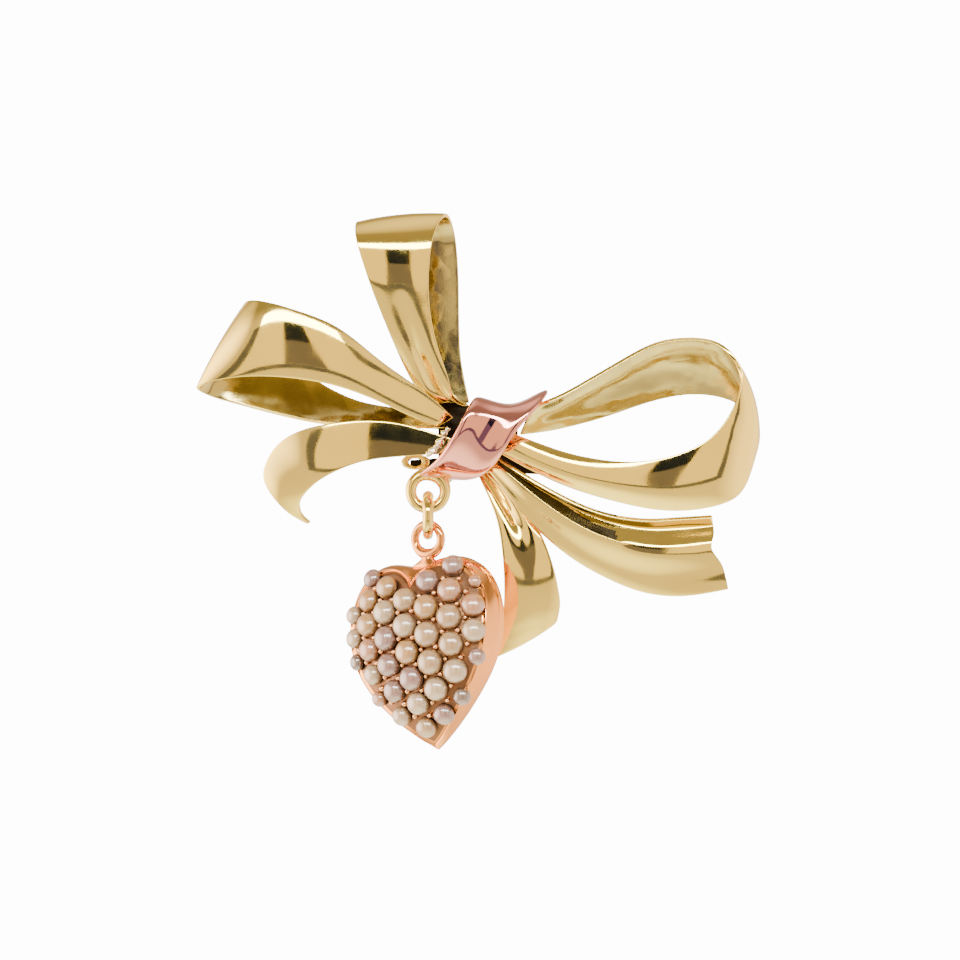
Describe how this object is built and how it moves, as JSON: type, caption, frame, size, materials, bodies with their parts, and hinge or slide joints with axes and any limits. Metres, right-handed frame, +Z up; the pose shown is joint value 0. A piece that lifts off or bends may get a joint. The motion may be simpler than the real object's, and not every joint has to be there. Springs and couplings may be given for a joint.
{
  "type": "bow brooch",
  "caption": "Bow brooch of looped gold ribbon with a rose gold knot, and a heart set with half pearls that hangs from a ring and link.",
  "frame": {"origin": "middle of the pin stem behind the bow, where the brooch is pinned on", "axes": "+Z up as worn, the front faces -Y, +X to the right as seen from the front; the pin stem lies along X"},
  "size_m": [0.0564, 0.0123, 0.0538],
  "materials": {
    "yellow_gold": "polished",
    "rose_gold": "polished",
    "heart_gold": "polished",
    "pearl": "lustrous"
  },
  "bodies": {
    "brooch": {"left_loop": "yellow_gold", "top_loop": "yellow_gold", "right_loop": "yellow_gold", "left_tail": "yellow_gold", "low_tail": "yellow_gold", "right_tail": "yellow_gold", "knot_band": "rose_gold", "pin_fitting": "yellow_gold", "hanger_ring": "yellow_gold"},
    "link": {"link": "yellow_gold"},
    "heart": {"heart_case": "heart_gold", "pearl_01": "pearl", "pearl_02": "pearl", "pearl_03": "pearl", "pearl_04": "pearl", "pearl_05": "pearl", "pearl_06": "pearl", "pearl_07": "pearl", "pearl_08": "pearl", "pearl_09": "pearl", "pearl_10": "pearl", "pearl_11": "pearl", "pearl_12": "pearl", "pearl_13": "pearl", "pearl_14": "pearl", "pearl_15": "pearl", "pearl_16": "pearl", "pearl_17": "pearl", "pearl_18": "pearl", "pearl_19": "pearl", "pearl_20": "pearl", "pearl_21": "pearl", "pearl_22": "pearl", "pearl_23": "pearl", "pearl_24": "pearl", "pearl_25": "pearl", "pearl_26": "pearl", "pearl_27": "pearl", "pearl_28": "pearl", "pearl_29": "pearl", "pearl_30": "pearl", "pearl_31": "pearl", "pearl_32": "pearl", "pearl_33": "pearl", "pearl_34": "pearl", "pearl_35": "pearl", "pearl_36": "pearl", "pearl_37": "pearl"}
  },
  "joints": [
    {"name": "link_swing", "type": "hinge", "parent": "brooch", "child": "link", "pos_m": [-0.0072, -0.0052, -0.00405], "axis": [-1, 0, 0], "range_deg": [-4, 60]},
    {"name": "heart_swing", "type": "hinge", "parent": "link", "child": "heart", "pos_m": [-0.0072, -0.0052, -0.00676], "axis": [0, -1, 0], "range_deg": [-25, 8]}
  ]
}
